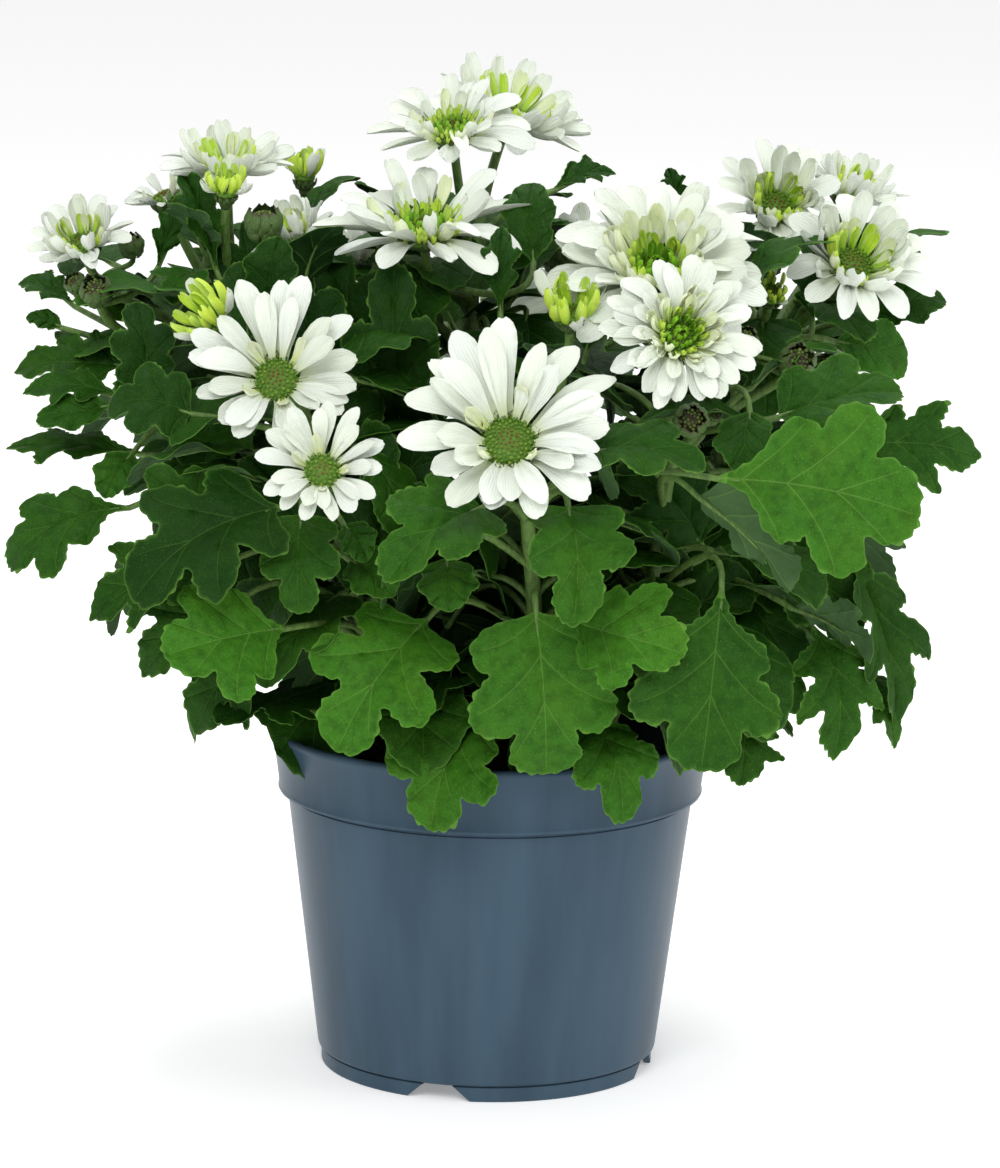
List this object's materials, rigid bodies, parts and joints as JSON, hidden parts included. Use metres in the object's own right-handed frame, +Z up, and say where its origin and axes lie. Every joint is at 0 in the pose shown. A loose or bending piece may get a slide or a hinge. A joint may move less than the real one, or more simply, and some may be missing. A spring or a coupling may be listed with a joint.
{
  "type": "potted chrysanthemum",
  "caption": "Flowering pot plant: leafy cuttings with white daisy-like heads, opening heads and buds, rooted in potting soil in a tapered grow pot with a rim band and a notched foot ring.",
  "frame": {"origin": "centre of the pot's underside, on the surface it stands on", "axes": "+Z up the pot's axis, -Y to the front as pictured, +X to the right"},
  "size_m": [0.3083, 0.2838, 0.3168],
  "materials": {
    "pot_plastic": "blue-grey moulded plastic, satin gloss",
    "soil": "dark moist peat crumbs and fibres",
    "stem": "pale green ribbed stem, slightly downy",
    "leaf": "matt green blade with paler veins and a grey-green underside",
    "white_petals": "white ray petals, cream-green at the base, round a green disc",
    "opening_petals": "yellow-green young petals",
    "bud_green": "scaly green calyx, dark red-brown mouth"
  },
  "bodies": {
    "root": {"bloom_back_centre": "white_petals", "bloom_back_left": "white_petals", "bloom_back_right": "white_petals", "bloom_back_small": "white_petals", "bloom_back_upper": "white_petals", "bloom_crown": "white_petals", "bloom_cupped": "white_petals", "bloom_double_large": "white_petals", "bloom_double_small": "white_petals", "bloom_far_left_side": "white_petals", "bloom_far_left_top": "white_petals", "bloom_front": "white_petals", "bloom_half_open": "white_petals", "bloom_left_edge": "white_petals", "bloom_left_lower": "white_petals", "bloom_left_upper": "white_petals", "bloom_right_back": "white_petals", "bloom_right_edge": "white_petals", "bloom_right_low": "white_petals", "bloom_top_left": "white_petals", "bloom_top_right": "white_petals", "bud_centre_right": "bud_green", "bud_left": "bud_green", "bud_right": "bud_green", "bud_upper_left": "bud_green", "leaf_back_centre": "leaf", "leaf_back_left": "leaf", "leaf_back_low": "leaf", "leaf_back_right": "leaf", "leaf_back_under_bloom": "leaf", "leaf_front_centre": "leaf", "leaf_front_left": "leaf", "leaf_left_bright": "leaf", "leaf_left_broad": "leaf", "leaf_left_low_tip": "leaf", "leaf_left_tip": "leaf", "leaf_left_upper": "leaf", "leaf_right_bright": "leaf", "leaf_right_broad": "leaf", "leaf_right_hanging": "leaf", "leaf_right_large": "leaf", "leaf_right_outer": "leaf", "leaf_right_tip": "leaf", "leaf_rim_left": "leaf", "leaf_rim_right": "leaf", "leaf_under_bloom": "leaf", "leaf_under_bloom_left": "leaf", "opening_centre": "opening_petals", "opening_far_left": "opening_petals", "opening_left": "opening_petals", "opening_right": "opening_petals", "opening_upper_left": "opening_petals", "pot": "pot_plastic", "potting_soil": "soil", "stem_front": "stem", "stem_left_back": "stem", "stem_left_front": "stem", "stem_middle_back": "stem", "stem_right_back": "stem", "stem_right_front": "stem"}
  },
  "joints": []
}
